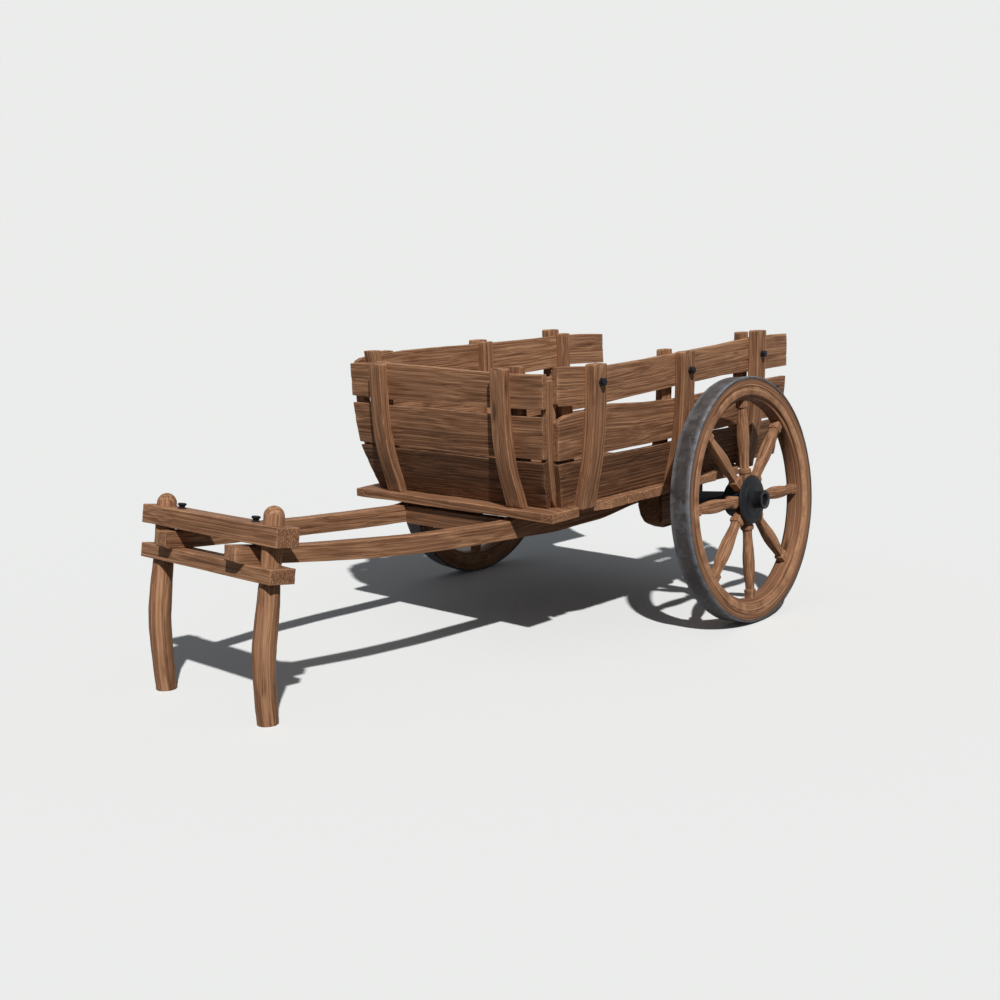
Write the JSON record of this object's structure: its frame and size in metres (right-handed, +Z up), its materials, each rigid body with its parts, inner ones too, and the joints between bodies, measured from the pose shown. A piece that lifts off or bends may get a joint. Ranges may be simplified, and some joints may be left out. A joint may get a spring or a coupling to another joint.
{
  "type": "two-wheeled wooden farm cart",
  "caption": "Two-wheeled wooden farm cart with a stave-sided open-backed tub, a plank deck, bent shafts and a yoke frame standing on prop legs.",
  "frame": {"origin": "on the ground, under the middle of the cart's overall box", "axes": "+X forward toward the yoke, +Y left, +Z up; the cart is symmetric across the XZ plane apart from the hand-cut board edges"},
  "size_m": [3.3906, 1.9354, 1.3955],
  "materials": {
    "timber": "worn oiled oak, satin to matte, grain raised by weather",
    "dark_timber": "older darker oak, matte, dirt in the grain",
    "iron": "blackened forged iron, worn edges",
    "tyre_iron": "mottled grey forged iron, bright worn edges"
  },
  "bodies": {
    "cart": {"left_shaft": "timber", "right_shaft": "timber", "front_crossbar": "dark_timber", "left_axle_block": "dark_timber", "right_axle_block": "dark_timber", "axle_tree": "dark_timber", "left_axle_arm": "iron", "right_axle_arm": "iron", "deck_plank_1": "timber", "deck_plank_2": "timber", "deck_plank_3": "timber", "deck_plank_4": "timber", "deck_plank_5": "timber", "deck_plank_6": "timber", "yoke_upper_bar": "timber", "yoke_lower_bar": "timber", "left_prop_leg": "timber", "right_prop_leg": "timber", "yoke_bolts": "iron", "left_board_low": "dark_timber", "left_board_middle": "timber", "left_board_top": "timber", "right_board_low": "dark_timber", "right_board_middle": "timber", "right_board_top": "timber", "front_board_low": "dark_timber", "front_board_middle": "timber", "front_board_top": "timber", "left_stake_1": "timber", "left_stake_2": "timber", "left_stake_3": "timber", "right_stake_1": "timber", "right_stake_2": "timber", "right_stake_3": "timber", "left_inner_stake_1": "timber", "left_inner_stake_2": "timber", "left_inner_stake_3": "timber", "right_inner_stake_1": "timber", "right_inner_stake_2": "timber", "right_inner_stake_3": "timber", "left_front_stake": "timber", "right_front_stake": "timber", "left_front_inner_stake": "timber", "right_front_inner_stake": "timber", "left_corner_post": "timber", "right_corner_post": "timber", "board_bolts": "iron"},
    "left_wheel": {"left_tyre": "tyre_iron", "left_rim": "timber", "left_spokes": "timber", "left_hub": "iron"},
    "right_wheel": {"right_tyre": "tyre_iron", "right_rim": "timber", "right_spokes": "timber", "right_hub": "iron"}
  },
  "joints": [
    {"name": "left_wheel_spin", "type": "hinge", "parent": "cart", "child": "left_wheel", "pos_m": [-0.858, 0.859, 0.5922], "axis": [0, 0.9963, 0.0854], "continuous": true},
    {"name": "right_wheel_spin", "type": "hinge", "parent": "cart", "child": "right_wheel", "pos_m": [-0.858, -0.859, 0.5922], "axis": [0, 0.9963, -0.0854], "continuous": true}
  ]
}
